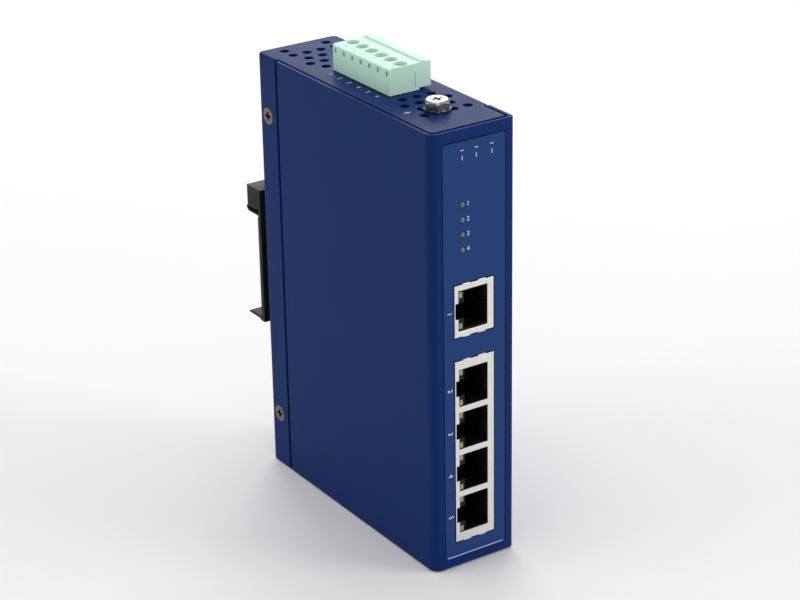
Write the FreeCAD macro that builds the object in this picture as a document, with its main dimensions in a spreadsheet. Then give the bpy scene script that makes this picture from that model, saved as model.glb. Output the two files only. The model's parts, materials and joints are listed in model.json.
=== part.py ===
import FreeCAD, Part
import math
import os
import re
import Sketcher
from FreeCAD import Placement, Rotation, Vector

# DIN rail Ethernet switch, in millimetres.
# Origin: centre of the case's bottom face. +Z is up, the port panel faces -Y, +X is its right.

# ---------------------------------------------------------------- driving dimensions

SIZES = [
    ("case_width", 29.0, "outer width over the front panel"),
    ("case_depth", 94.0, "outer depth, front panel to back wall"),
    ("case_height", 140.0, "outer height of the chassis"),
    ("sheet", 1.0, "thickness of both folded steel sheets"),
    ("bend", 2.0, "outer radius of the chassis's bends"),
    ("front_bend", 3.0, "outer radius of the bend between front panel and left wall"),
    ("flange_bend", 1.2, "outer radius of the bend between front panel and flange"),
    ("fold", 0.8, "outer radius of the folds along the plates"),
    ("lap_fold", 1.5, "outer radius of those folds where the flange laps over them"),
    ("strip_depth", 10.5, "chassis strip that closes the left side at the rear"),
    ("seam", 1.2, "visible gap between cover and strip"),
    ("lid_gap", 0.3, "gap between the chassis plates and the cover"),
    ("cover_drop", 0.3, "cover's top edge below the chassis top"),
    ("cover_lift", 0.5, "cover's bottom edge above the chassis bottom"),
    ("lap_gap", 0.1, "gap between sheets that lap over each other"),
    ("tab_depth", 7.8, "cover's tab behind the strip"),
    ("tab_relief", 4.0, "the tab's ends kept back from the plates"),
    ("flange_depth", 12.0, "cover's flange on the right side"),
    ("flange_proud", 0.4, "flange's step out from the chassis side"),
    ("joggle", 0.5, "run of a joggle in the sheet"),
    ("label_left_inset", 3.9, "front overlay from the case's left side"),
    ("label_right_inset", 3.5, "front overlay from the case's right side"),
    ("label_low", 3.4, "bottom edge of the front overlay"),
    ("label_drop", 4.0, "top edge of the front overlay below the chassis top"),
    ("label_thick", 0.25, "overlay thickness"),
    ("label_corner", 0.7, "overlay corner radius"),
    ("port_gap", 0.35, "gap round a jack in panel and overlay"),
    ("vent_radius", 1.5, "radius of a vent hole"),
    ("vent_pitch", 5.0, "vent hole spacing across a row"),
    ("vent_row", 5.0, "distance between vent rows"),
    ("vent_front", -17.2, "rearmost row of the front vent field"),
    ("vent_rear", 22.0, "frontmost row of the rear vent field"),
    ("vent_shift", 1.25, "sideways shift of the front vent field"),
    ("case_screw_inset", 5.3, "case screws from the edge of their sheet"),
    ("case_screw_low", 18.3, "height of the lower case screws"),
    ("case_screw_drop", 19.5, "upper case screws below the chassis top"),
    ("case_screw_room", 1.55, "right case screws' tips from the jacks"),
    ("countersink", 2.7, "radius of a countersunk head"),
    ("sink_gap", 0.2, "clearance round a countersunk head"),
    ("thread", 1.5, "radius of the M3 threads"),
    ("thread_gap", 0.03, "running clearance in a thread"),
    ("hole_gap", 0.2, "clearance round a screw shank"),
    ("nut_radius", 2.8, "radius of a clinch nut"),
    ("nut_height", 2.0, "height of a clinch nut"),
    ("recess", 0.45, "half width of a cross recess slot"),
    ("recess_depth", 1.1, "depth of a cross recess"),
    ("standoff", 5.0, "distance from left wall to board"),
    ("standoff_radius", 3.0, "corner radius of a hexagonal standoff"),
    ("board_thick", 1.6, "circuit board thickness"),
    ("board_front_inset", 2.5, "board's front edge behind the front face"),
    ("board_rear_inset", 9.0, "board's rear edge ahead of the back face"),
    ("board_low", 4.0, "board's bottom edge"),
    ("board_drop", 4.0, "board's top edge below the chassis top"),
    ("board_screw_room", 1.8, "front column of board screws' heads ahead of the terminal header"),
    ("board_screw_rear", 8.0, "rear column of board screws ahead of the board's rear edge"),
    ("board_screw_inset", 4.5, "board screws from top and bottom edges"),
    ("head_radius", 2.7, "radius of a board screw's head"),
    ("head_height", 1.8, "height of a board screw's head"),
    ("film", 0.3, "insulating sheet thickness"),
    ("film_hole", 4.0, "radius of the sheet's holes round the standoffs"),
    ("jack_height", 13.85, "jack, from board face to its outer side"),
    ("jack_depth", 21.3, "jack, front to back"),
    ("jack_proud", 0.35, "jack front ahead of the panel"),
    ("shield", 0.3, "thickness of the jack shields"),
    ("single_level", 84.25, "centre height of the single jack"),
    ("single_span", 16.3, "height of the single jack"),
    ("single_mouth", 12.8, "height of the single jack's mouth"),
    ("quad_level", 38.65, "centre height of the four-port jack"),
    ("quad_pitch", 13.97, "port spacing in the four-port jack"),
    ("quad_mouth", 12.1, "height of each mouth in the four-port jack"),
    ("quad_border", 2.75, "border above and below the four mouths"),
    ("mouth_left", 1.4, "shield border on the board side"),
    ("mouth_right", 2.2, "shield border on the far side"),
    ("notch_width", 5.0, "width of the latch channel"),
    ("notch_left", 0.35, "latch channel's distance from the board"),
    ("plug_floor", 3.5, "plug space's distance from the board"),
    ("plug_roof", 2.35, "plug space's distance from the jack's far side"),
    ("plug_space", 11.8, "width of the plug space"),
    ("plug_reach", 14.5, "depth of the plug space"),
    ("lamp_left", 1.8, "port light's distance from the board"),
    ("lamp_width", 1.1, "port light across the jack"),
    ("lamp_height", 1.8, "port light along the jack"),
    ("lamp_reach", 8.0, "length of a port light guide"),
    ("lamp_edge", 0.1, "port light from the side of the plug space"),
    ("wire_pitch", 1.02, "spacing of the jack contacts"),
    ("wire_thick", 0.35, "thickness of a jack contact"),
    ("wire_width", 0.45, "width of a jack contact"),
    ("wire_slope", 21.0, "angle of a jack contact's spring"),
    ("wire_spring", 9.0, "length of a jack contact's spring"),
    ("wire_room", 1.0, "depth of the contact recess over the plug space"),
    ("finger_height", 0.3, "ground finger above the shield"),
    ("finger_width", 2.6, "width of a ground finger"),
    ("finger_depth", 4.0, "length of a ground finger"),
    ("led_inset", 10.6, "status lights from the case's left side"),
    ("led_top", 117.0, "height of the top status light"),
    ("led_pitch", 4.6, "spacing of the status lights"),
    ("led_radius", 0.85, "radius of a status light"),
    ("led_gap", 0.15, "gap round a status light"),
    ("led_proud", 0.3, "status light ahead of the overlay"),
    ("led_length", 9.0, "length of a status light"),
    ("led_chamfer", 0.3, "bevel on a status light's tip"),
    ("holder_depth", 5.0, "depth of the status light holder"),
    ("holder_wall", 1.2, "holder's wall round the lights"),
    ("pole_count", 6.0, "number of terminal poles"),
    ("pole_pitch", 5.08, "terminal pole spacing"),
    ("plug_level", 2.2, "centre of the terminal plug, front to back"),
    ("plug_left", -5.35, "left face of the terminal plug"),
    ("plug_right", 9.15, "right face of the terminal plug"),
    ("plug_step", 5.1, "where the plug's overhang starts"),
    ("plug_lift", 0.8, "overhang's clearance over the top plate"),
    ("plug_shoulder", 0.15, "plug's shoulder over the top plate"),
    ("plug_top", 8.4, "plug's top face over the top plate"),
    ("ridge_left", 5.6, "left side of the plug's ridge"),
    ("ridge_width", 1.6, "width of the plug's ridge"),
    ("ridge_height", 0.5, "height of the plug's ridge"),
    ("plug_bevel", 0.9, "width of the bevel along the plug's left top edge"),
    ("plug_bevel_drop", 0.35, "height of that bevel"),
    ("groove_at", 3.65, "groove in the plug's end faces, sideways"),
    ("groove_width", 0.3, "width of that groove"),
    ("groove_depth", 0.3, "depth of that groove"),
    ("groove_low", 0.95, "groove's lower end over the top plate"),
    ("groove_high", 5.75, "groove's upper end over the top plate"),
    ("tongue_left", -4.6, "left side of the plug's tongue"),
    ("tongue_right", 2.4, "right side of the plug's tongue"),
    ("tongue_inset", 0.75, "tongue's ends inside the plug's ends"),
    ("tongue_depth", 8.1, "plug's tongue below the top plate"),
    ("tongue_gap", 0.1, "clearance of the tongue in the header"),
    ("opening_gap", 0.3, "clearance of the tongue in the top plate"),
    ("header_wall", 1.0, "wall of the terminal header"),
    ("header_floor", 3.0, "floor of the terminal header"),
    ("header_drop", 0.3, "header's rim below the top plate"),
    ("pin_side", 1.0, "side of a square header pin"),
    ("pin_column", -1.1, "header pins' place across the board"),
    ("pin_drop", 2.5, "header pins below the header's floor"),
    ("pin_tip", 1.5, "header pins' tips below the top plate"),
    ("clip_hole", 0.1, "clearance of a pin in its socket"),
    ("socket_wall", 0.7, "wall of a plug socket"),
    ("bar_left", 2.0, "clamping bar's left face"),
    ("bar_thick", 0.8, "clamping bar thickness"),
    ("bar_width", 2.4, "clamping bar width"),
    ("cage_wall", 0.6, "clamp cage wall"),
    ("cage_wire", 3.7, "clamp cage's wire space when open"),
    ("cage_nut", 1.7, "clamp cage's threaded end"),
    ("cage_width", 3.9, "clamp cage across the pole"),
    ("cage_height", 3.8, "clamp cage along the wire"),
    ("cage_rise", 2.4, "clamp cage's underside over the top plate"),
    ("cage_travel", 1.75, "travel of a clamp cage"),
    ("cage_gap", 0.1, "clearance round a clamp cage"),
    ("screw_room", 1.4, "screw end between bar and threaded end"),
    ("clamp_thread", 1.25, "radius of a clamp screw's thread"),
    ("clamp_head", 1.85, "radius of a clamp screw's head"),
    ("clamp_head_height", 1.15, "height of a clamp screw's head"),
    ("clamp_slot", 0.35, "half width of a clamp screw's slot"),
    ("tip_gap", 0.05, "clearance at a clamp screw's tip"),
    ("entry_radius", 2.15, "radius of a wire funnel's mouth"),
    ("entry_throat", 1.7, "radius of a wire funnel's throat"),
    ("entry_level", 0.15, "sideways place of the wire entries"),
    ("key_pitch", 4.6, "spacing of the slots on the plug's left face"),
    ("key_width", 1.2, "width of such a slot"),
    ("key_height", 1.5, "height of such a slot"),
    ("key_depth", 1.8, "depth of such a slot"),
    ("key_drop", 1.1, "such a slot's top below the plug's top"),
    ("ground_x", -0.7, "ground screw, sideways"),
    ("ground_y", -30.5, "ground screw, front to back"),
    ("ground_thread", 2.0, "radius of the ground screw's M4 thread"),
    ("ground_head", 4.0, "corner radius of the ground screw's hexagonal head"),
    ("ground_crown", 3.1, "radius of the head's flat top"),
    ("ground_chamfer", 0.9, "height of the chamfer round the head's top"),
    ("ground_height", 2.7, "height of the ground screw's head"),
    ("ground_recess", 1.9, "reach of the cross recess in the head"),
    ("ground_length", 7.0, "ground screw below its head"),
    ("washer_radius", 4.3, "radius of the toothed washer"),
    ("washer_thick", 0.7, "toothed washer thickness"),
    ("washer_teeth", 12.0, "teeth of the toothed washer"),
    ("clip_gap", 3.0, "space between back wall and rail clip"),
    ("clip_plate", 1.75, "rail clip plate thickness"),
    ("clip_width", 27.8, "rail clip width"),
    ("clip_low", 47.5, "bottom of the rail clip"),
    ("clip_high", 93.0, "top of the rail clip"),
    ("clip_block", 6.8, "height of the clip's top block"),
    ("clip_block_reach", 7.8, "top block behind the back of the spacer"),
    ("clip_ledge", 1.5, "top of the clip's ledge over the clip's bottom"),
    ("clip_ledge_reach", 9.5, "ledge behind the back of the spacer"),
    ("clip_arch", 0.5, "rise of the ledge's underside behind the plate"),
    ("clip_root", 0.9, "slope between ledge and plate"),
    ("clip_lip", 2.8, "length of the ledge's tapered lip"),
    ("clip_tip", 0.5, "thickness of the lip's tip"),
    ("bay_depth", 0.3, "relief in the clip's face behind the rail spring"),
    ("bay_gap", 0.2, "relief below the rail spring"),
    ("spring_drop", 2.5, "rail spring below the top block"),
    ("spring_sheet", 0.7, "rail spring thickness"),
    ("spring_width", 27.0, "rail spring width"),
    ("spring_start", 3.0, "rail spring's root behind the spacer"),
    ("clip_screw_pitch", 25.0, "distance between the clip screws"),
    ("clip_screw_length", 8.0, "clip screw, over all"),
    ("spacer_radius", 4.0, "radius of a clip spacer"),
    ("transformer_rise", 4.2, "port transformer's height off the board"),
    ("transformer_deep", 7.5, "port transformer, front to back"),
    ("transformer_tall", 12.7, "port transformer, bottom to top"),
    ("transformer_gap", 4.0, "port transformers behind the jacks"),
    ("sink_base", 1.5, "heat sink's base thickness"),
    ("sink_rise", 5.0, "heat sink's fins over its base"),
    ("fin_thick", 0.9, "thickness of a fin"),
    ("fin_count", 7.0, "fins of the heat sink"),
]

# Soldered parts: node, shape, then one amount for each entry of PART_SIZES.
PART_SIZES = [
    ("rise", "height off the board"),
    ("deep", "size front to back"),
    ("tall", "size bottom to top"),
    ("along_share", "centre of the first one, as a share of the case's depth"),
    ("up_share", "height of the first one's centre, as a share of the case's height"),
    ("columns", "copies front to back"),
    ("column_step", "distance between copies front to back"),
    ("rows", "copies bottom to top"),
    ("row_step", "distance between copies bottom to top"),
]
COMPONENTS = [
    ("switch_chip", "block", 1.4, 14.0, 14.0, 0.15, 0.43, 1, 0.0, 1, 0.0),
    ("memory_chip", "block", 1.5, 5.0, 4.0, 0.15, 0.3, 1, 0.0, 1, 0.0),
    ("crystal", "block", 3.5, 4.7, 11.0, 0.15, 0.57, 1, 0.0, 1, 0.0),
    ("power_chips", "block", 1.6, 6.0, 5.0, 0.0, 0.66, 1, 0.0, 2, 12.0),
    ("power_inductors", "block", 4.5, 7.3, 7.3, 0.13, 0.67, 1, 0.0, 2, 12.0),
    ("bulk_capacitors", "round", 14.0, 10.0, 10.0, 0.29, 0.66, 1, 0.0, 2, 13.0),
    ("alarm_relay", "block", 10.0, 10.0, 15.0, 0.33, 0.53, 1, 0.0, 1, 0.0),
    ("input_diodes", "block", 2.3, 2.6, 4.6, -0.13, 0.71, 1, 0.0, 3, 7.0),
    ("input_fuses", "block", 2.6, 2.6, 6.2, -0.235, 0.76, 1, 0.0, 2, 10.0),
    ("small_resistors", "block", 0.5, 0.85, 1.6, 0.0, 0.17, 4, 3.0, 6, 4.0),
]
for part_name, _, *amounts in COMPONENTS:
    for (suffix, note), amount in zip(PART_SIZES, amounts):
        SIZES.append((f"{part_name}_{suffix}", amount, note))

doc = FreeCAD.newDocument("din_rail_switch")
dims = doc.addObject("Spreadsheet::Sheet", "dims")
for row, (alias, amount, note) in enumerate(SIZES, start=1):
    dims.set(f"A{row}", alias)
    dims.set(f"B{row}", str(amount))
    dims.set(f"C{row}", note)
    dims.setAlias(f"B{row}", alias)
doc.recompute()

ALIASES = re.compile(r"\b(" + "|".join(alias for alias, _, _ in SIZES) + r")\b")


def bound(text):
    """Expression text in which every alias points at the spreadsheet."""
    return ALIASES.sub(r"dims.\1", str(text))


def size(alias):
    """Number held by a spreadsheet cell."""
    return float(getattr(dims, alias))


# ---------------------------------------------------------------- shared positions

LEFT = "(-case_width / 2)"
RIGHT = "(case_width / 2)"
FRONT = "(-case_depth / 2)"
REAR = "(case_depth / 2)"
INNER_LEFT = f"({LEFT} + sheet)"
SIDE = f"({RIGHT} - flange_proud)"
LAP_SIDE = f"({RIGHT} - sheet - lid_gap)"
PLATE_FRONT = f"({FRONT} + sheet + lid_gap)"
PLATE_LEFT = f"({INNER_LEFT} + lid_gap)"
STRIP_FRONT = f"({REAR} - strip_depth)"
FLANGE_REAR = f"({FRONT} + flange_depth)"
JOGGLE_START = f"({FLANGE_REAR} + lid_gap)"
TAB_OUTER = f"({INNER_LEFT} + lap_gap)"
LABEL_LEFT = f"({LEFT} + label_left_inset)"
LABEL_RIGHT = f"({RIGHT} - label_right_inset)"
LABEL_HIGH = "(case_height - label_drop)"
LED_COLUMN = f"({LEFT} + led_inset)"
BOARD_FRONT = f"({FRONT} + board_front_inset)"
BOARD_REAR = f"({REAR} - board_rear_inset)"
BOARD_HIGH = "(case_height - board_drop)"
BOARD_BACK = f"({INNER_LEFT} + standoff)"
BOARD_FACE = f"({BOARD_BACK} + board_thick)"
JACK_FRONT = f"({FRONT} - jack_proud)"
JACK_REAR = f"({JACK_FRONT} + jack_depth)"
JACK_SIDE = f"({BOARD_FACE} + jack_height)"
CASE_SCREW_LENGTH = f"({RIGHT} - {JACK_SIDE} - case_screw_room)"
QUAD_SPAN = "(3 * quad_pitch + quad_mouth + 2 * quad_border)"
QUAD_LEVELS = [f"(quad_level + {step} * quad_pitch)" for step in (-1.5, -0.5, 0.5, 1.5)]
PLUG_END = "(pole_count * pole_pitch / 2)"
TONGUE_END = f"({PLUG_END} - tongue_inset)"
PLUG_TOP = "(case_height + plug_top)"
CLIP_FRONT = f"({REAR} + clip_gap)"
CLIP_FACE = f"({CLIP_FRONT} + clip_plate)"
POLES = int(size("pole_count"))
POLE_LEVELS = [f"(plug_level + ({index} - (pole_count - 1) / 2) * pole_pitch)" for index in range(POLES)]
CASE_SCREW_LEVELS = ("case_screw_low", "(case_height - case_screw_drop)")
CASE_SCREW_REAR = f"({REAR} - case_screw_inset)"
CASE_SCREW_FRONT = f"({FLANGE_REAR} - case_screw_inset)"
CLIP_SCREW_LEVELS = [
    f"((clip_low + clip_high) / 2 + {side} * clip_screw_pitch / 2)" for side in (-1, 1)
]
SINK = "(countersink + sink_gap)"
HEADER_FRONT = f"(plug_level - {TONGUE_END} - tongue_gap - header_wall)"
BOARD_SCREWS = [
    (across, up)
    for across in (f"({HEADER_FRONT} - board_screw_room - head_radius)", f"({BOARD_REAR} - board_screw_rear)")
    for up in ("(board_low + board_screw_inset)", f"({BOARD_HIGH} - board_screw_inset)")
]

# ---------------------------------------------------------------- building blocks

NODES = []
TURN = {
    "+x": Rotation(Vector(0, 1, 0), 90),
    "-x": Rotation(Vector(0, 1, 0), -90),
    "+y": Rotation(Vector(1, 0, 0), -90),
    "-y": Rotation(Vector(1, 0, 0), 90),
    "+z": Rotation(),
    "-z": Rotation(Vector(1, 0, 0), 180),
}


def node(item, label):
    """Names a finished sub-part and lists it for export."""
    item.Label = label
    NODES.append(item)
    return item


def place(item, spot):
    """Binds an object's position to three expressions."""
    for letter, text in zip("xyz", spot):
        item.setExpression(f"Placement.Base.{letter}", bound(text))


def box(x_span, y_span, z_span):
    """Block between two expressions along each axis."""
    item = doc.addObject("Part::Box", "block")
    for side, (low, high) in zip(("Length", "Width", "Height"), (x_span, y_span, z_span)):
        item.setExpression(side, bound(f"({high}) - ({low})"))
    place(item, (x_span[0], y_span[0], z_span[0]))
    return item


def around(centre, width):
    """Span of a width on both sides of a centre."""
    return (f"({centre} - ({width}) / 2)", f"({centre} + ({width}) / 2)")


def rod(direction, spot, radius, length):
    """Cylinder that starts at a spot and runs in a direction."""
    item = doc.addObject("Part::Cylinder", "rod")
    item.Placement = Placement(Vector(), TURN[direction])
    item.setExpression("Radius", bound(radius))
    item.setExpression("Height", bound(length))
    place(item, spot)
    return item


def cone(direction, spot, start_radius, end_radius, length):
    """Cone that starts at a spot and runs in a direction."""
    item = doc.addObject("Part::Cone", "cone")
    item.Placement = Placement(Vector(), TURN[direction])
    item.setExpression("Radius1", bound(start_radius))
    item.setExpression("Radius2", bound(end_radius))
    item.setExpression("Height", bound(length))
    place(item, spot)
    return item


def prism(direction, spot, radius, length):
    """Hexagonal bar that starts at a spot and runs in a direction."""
    item = doc.addObject("Part::Prism", "prism")
    item.Polygon = 6
    item.Placement = Placement(Vector(), TURN[direction])
    item.setExpression("Circumradius", bound(radius))
    item.setExpression("Height", bound(length))
    place(item, spot)
    return item


def fuse(items):
    """Union, in which pieces that don't meet stay separate solids."""
    if len(items) == 1:
        return items[0]
    item = doc.addObject("Part::MultiFuse", "union")
    item.Shapes = items
    return item


def group(items):
    """Set of separate solids in one object."""
    item = doc.addObject("Part::Compound", "group")
    item.Links = items
    return item


def cut(base, tools):
    """Base less the tools."""
    item = doc.addObject("Part::Cut", "cut")
    item.Base = base
    item.Tool = fuse(tools)
    return item


def new_body():
    return doc.addObject("PartDesign::Body", "body")


def new_sketch(body, plane, offset):
    """Sketch on one of the body's origin planes, moved along the plane's normal."""
    item = body.newObject("Sketcher::SketchObject", "sketch")
    support = next(part for part in body.Origin.OriginFeatures if part.Role == f"{plane}_Plane")
    item.AttachmentSupport = [(support, "")]
    item.MapMode = "FlatFace"
    item.setExpression("AttachmentOffset.Base.z", bound(offset))
    return item


def tie(item, geometry, point, spot):
    """Ties a sketch point to the sketch origin by two signed lengths."""
    for kind, text in zip(("DistanceX", "DistanceY"), spot):
        start = item.Geometry[geometry].Center if point == 3 else item.Geometry[geometry].StartPoint
        amount = start.x if kind == "DistanceX" else start.y
        index = item.addConstraint(Sketcher.Constraint(kind, -1, 1, geometry, point, amount))
        item.setExpression(f"Constraints[{index}]", bound(text))


def outline(item, corners):
    """Closed loop of straight lines through corners, which starts as a ring of chords."""
    count = len(corners)
    first = item.GeometryCount
    turn = 2 * math.pi / count
    ring = size("case_depth") / 2
    spots = [Vector(math.cos(turn * k), math.sin(turn * k), 0) * ring for k in range(count)]
    item.addGeometry([Part.LineSegment(spots[k], spots[(k + 1) % count]) for k in range(count)])
    item.addConstraint(
        [
            Sketcher.Constraint("Coincident", first + k, 2, first + (k + 1) % count, 1)
            for k in range(count)
        ]
    )
    for k, corner in enumerate(corners):
        tie(item, first + k, 1, corner)


def rectangle(item, u_span, v_span):
    """Closed rectangle between two expressions along each sketch axis."""
    corners = [(u_span[0], v_span[0]), (u_span[1], v_span[0])]
    corners += [(u_span[1], v_span[1]), (u_span[0], v_span[1])]
    outline(item, corners)


def circle(item, spot, radius):
    """Circle about a centre given as expressions."""
    geometry = item.addGeometry(Part.Circle(Vector(1, 1, 0), Vector(0, 0, 1), 1))
    tie(item, geometry, 3, spot)
    index = item.addConstraint(Sketcher.Constraint("Radius", geometry, 1.0))
    item.setExpression(f"Constraints[{index}]", bound(radius))


def pad(body, item, length):
    """Adds the sketch's area along its plane's normal."""
    feature = body.newObject("PartDesign::Pad", "pad")
    feature.Profile = item
    feature.setExpression("Length", bound(length))
    doc.recompute()
    return feature


def pocket(body, item, length):
    """Removes the sketch's area along its plane's normal, and makes sure that it cuts."""
    before = body.Shape.Volume
    feature = body.newObject("PartDesign::Pocket", "pocket")
    feature.Profile = item
    feature.Reversed = True
    feature.setExpression("Length", bound(length))
    doc.recompute()
    if body.Shape.Volume >= before - 1e-6:
        raise RuntimeError(f"{body.Label}: a pocket cuts nothing")
    return feature


def round_edges(body, radius, wanted):
    """Fillets the edges of the body's last feature for which wanted(edge) is true."""
    base = body.Tip
    names = [f"Edge{k}" for k, edge in enumerate(base.Shape.Edges, start=1) if wanted(edge)]
    feature = body.newObject("PartDesign::Fillet", "fillet")
    feature.Base = (base, names)
    feature.setExpression("Radius", bound(radius))
    doc.recompute()
    return feature


def along(edge, letter):
    """True for a straight edge parallel to an axis."""
    if edge.Curve.TypeId != "Part::GeomLine":
        return False
    return abs(getattr(edge.tangentAt(edge.FirstParameter), letter)) > 0.999


def near(edge, **levels):
    """True where the edge's middle lies at the given coordinates."""
    middle = edge.CenterOfMass
    return all(abs(getattr(middle, letter) - level) < 1e-3 for letter, level in levels.items())


# ---------------------------------------------------------------- case: vent fields

FRONT_VENTS = [(0, (-1, 0, 1)), (1, (-1.5, -0.5, 0.5, 1.5)), (2, (-1, 1)), (3, (-1.5, 0.5, 1.5))]
REAR_VENTS = [
    (0, (-1, 0, 1)),
    (1, (-1.5, -0.5, 0.5, 1.5)),
    (2, (-1, 0, 1)),
    (3, (-1.5, -0.5, 0.5, 1.5)),
    (4, (-1.5, 1.5)),
]
VENTS = [
    (f"(vent_shift + {column} * vent_pitch)", f"(vent_front - {rank} * vent_row)")
    for rank, columns in FRONT_VENTS
    for column in columns
]
VENTS += [
    (f"({column} * vent_pitch)", f"(vent_rear + {rank} * vent_row)")
    for rank, columns in REAR_VENTS
    for column in columns
]

# ---------------------------------------------------------------- case: rear chassis

CORNER_CUT = "((front_bend - sheet) / 2)"
chassis_side = [
    (LAP_SIDE, PLATE_FRONT),
    (LAP_SIDE, JOGGLE_START),
    (SIDE, f"{JOGGLE_START} + joggle"),
    (SIDE, REAR),
    (LEFT, REAR),
    (LEFT, STRIP_FRONT),
]
chassis_lining = [
    (INNER_LEFT, STRIP_FRONT),
    (INNER_LEFT, f"{REAR} - sheet"),
    (f"{SIDE} - sheet", f"{REAR} - sheet"),
    (f"{SIDE} - sheet", f"{JOGGLE_START} + joggle + 0.3 * sheet"),
    (f"{LAP_SIDE} - sheet", f"{JOGGLE_START} + 0.3 * sheet"),
    (f"{LAP_SIDE} - sheet", PLATE_FRONT),
]
plate_rim = chassis_side + [
    (PLATE_LEFT, STRIP_FRONT),
    (PLATE_LEFT, f"{PLATE_FRONT} + {CORNER_CUT}"),
    (f"{PLATE_LEFT} + {CORNER_CUT}", PLATE_FRONT),
]

chassis = new_body()
walls = new_sketch(chassis, "XY", "0")
outline(walls, chassis_side + chassis_lining)
pad(chassis, walls, "case_height")
for level in ("0", "case_height - sheet"):
    plate = new_sketch(chassis, "XY", level)
    outline(plate, plate_rim)
    pad(chassis, plate, "sheet")

rear_y = size("case_depth") / 2
left_x = -size("case_width") / 2
right_x = size("case_width") / 2
side_x = right_x - size("flange_proud")
inner = size("sheet")


def chassis_corner(edge):
    outer = near(edge, x=side_x, y=rear_y) or near(edge, x=left_x, y=rear_y)
    return along(edge, "z") and outer


round_edges(chassis, "bend", chassis_corner)


def chassis_inner_corner(edge):
    inner_y = rear_y - inner
    return along(edge, "z") and (
        near(edge, x=side_x - inner, y=inner_y) or near(edge, x=left_x + inner, y=inner_y)
    )


round_edges(chassis, "bend - sheet", chassis_inner_corner)


def chassis_fold(edge, x):
    return along(edge, "y") and any(near(edge, x=x, z=z) for z in (0, size("case_height")))


lap_x = right_x - inner - size("lid_gap")
round_edges(chassis, "fold", lambda edge: chassis_fold(edge, side_x))
round_edges(chassis, "lap_fold", lambda edge: chassis_fold(edge, lap_x))

holes = new_sketch(chassis, "XY", "0")
for vent in VENTS:
    circle(holes, vent, "vent_radius")
pocket(chassis, holes, "case_height")
opening = new_sketch(chassis, "XY", "case_height - sheet")
rectangle(
    opening,
    ("tongue_left - opening_gap", "tongue_right + opening_gap"),
    (f"plug_level - {TONGUE_END} - opening_gap", f"plug_level + {TONGUE_END} + opening_gap"),
)
circle(opening, ("ground_x", "ground_y"), "ground_thread + hole_gap")
pocket(chassis, opening, "sheet")
sinks = [
    cone("+x", (LEFT, CASE_SCREW_REAR, level), SINK, f"{SINK} - sheet", "sheet")
    for level in CASE_SCREW_LEVELS
]
lap_holes = [
    rod("+x", (f"{LAP_SIDE} - sheet", CASE_SCREW_FRONT, level), "thread + hole_gap", "sheet")
    for level in CASE_SCREW_LEVELS
]
clip_holes = [
    rod("+y", ("0", f"{REAR} - sheet", level), "thread + hole_gap", "sheet")
    for level in CLIP_SCREW_LEVELS
]
node(cut(chassis, sinks + lap_holes + clip_holes), "rear_chassis")

# ---------------------------------------------------------------- case: front cover

TAB_REAR = f"({STRIP_FRONT} + tab_depth)"
WALL_END = f"({STRIP_FRONT} - seam)"
cover_outside = [
    (TAB_OUTER, TAB_REAR),
    (TAB_OUTER, f"{WALL_END} + joggle"),
    (LEFT, WALL_END),
    (LEFT, FRONT),
    (RIGHT, FRONT),
    (RIGHT, FLANGE_REAR),
]
cover_inside = [
    (f"{RIGHT} - sheet", FLANGE_REAR),
    (f"{RIGHT} - sheet", f"{FRONT} + sheet"),
    (INNER_LEFT, f"{FRONT} + sheet"),
    (INNER_LEFT, f"{WALL_END} - 0.3 * sheet"),
    (f"{TAB_OUTER} + sheet", f"{WALL_END} + joggle - 0.3 * sheet"),
    (f"{TAB_OUTER} + sheet", TAB_REAR),
]
COVER_TOP = "(case_height - cover_drop)"

cover = new_body()
wrap = new_sketch(cover, "XY", "cover_lift")
outline(wrap, cover_outside + cover_inside)
pad(cover, wrap, f"{COVER_TOP} - cover_lift")
front_y = -rear_y

for corner_x, inward, radius in ((left_x, 1, "front_bend"), (right_x, -1, "flange_bend")):
    outer = {"x": corner_x, "y": front_y}
    inside = {"x": corner_x + inward * inner, "y": front_y + inner}
    round_edges(cover, radius, lambda edge: along(edge, "z") and near(edge, **outer))
    round_edges(cover, f"{radius} - sheet", lambda edge: along(edge, "z") and near(edge, **inside))


def panel_cutouts(item):
    """Jack openings and status light holes, on a sketch that faces forward."""
    jack_span = (f"{BOARD_FACE} - port_gap", f"{JACK_SIDE} + port_gap")
    rectangle(item, jack_span, around("single_level", "single_span + 2 * port_gap"))
    rectangle(item, jack_span, around("quad_level", f"{QUAD_SPAN} + 2 * port_gap"))
    for step in range(4):
        circle(item, (LED_COLUMN, f"led_top - {step} * led_pitch"), "led_radius + led_gap")


panel = new_sketch(cover, "XZ", f"-{FRONT} - sheet")
panel_cutouts(panel)
pocket(cover, panel, "sheet")
reliefs = [
    box((INNER_LEFT, f"{INNER_LEFT} + 3 * sheet"), (f"{WALL_END} - 0.4 * sheet", f"{TAB_REAR} + seam"), span)
    for span in (
        ("cover_lift", "cover_lift + tab_relief"),
        (f"{COVER_TOP} - tab_relief", COVER_TOP),
    )
]
tab_holes = [
    rod("+x", (TAB_OUTER, CASE_SCREW_REAR, level), "thread + hole_gap", "sheet")
    for level in CASE_SCREW_LEVELS
]
flange_sinks = [
    cone("-x", (RIGHT, CASE_SCREW_FRONT, level), SINK, f"{SINK} - sheet", "sheet")
    for level in CASE_SCREW_LEVELS
]
node(cut(cover, reliefs + tab_holes + flange_sinks), "front_cover")

# ---------------------------------------------------------------- case: overlay

overlay = new_body()
face = new_sketch(overlay, "XZ", f"-{FRONT}")
rectangle(face, (LABEL_LEFT, LABEL_RIGHT), ("label_low", LABEL_HIGH))
pad(overlay, face, "label_thick")
round_edges(overlay, "label_corner", lambda edge: along(edge, "y"))
windows = new_sketch(overlay, "XZ", f"-{FRONT}")
panel_cutouts(windows)
pocket(overlay, windows, "label_thick")
node(overlay, "front_label")


# ---------------------------------------------------------------- screws and nuts

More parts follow.
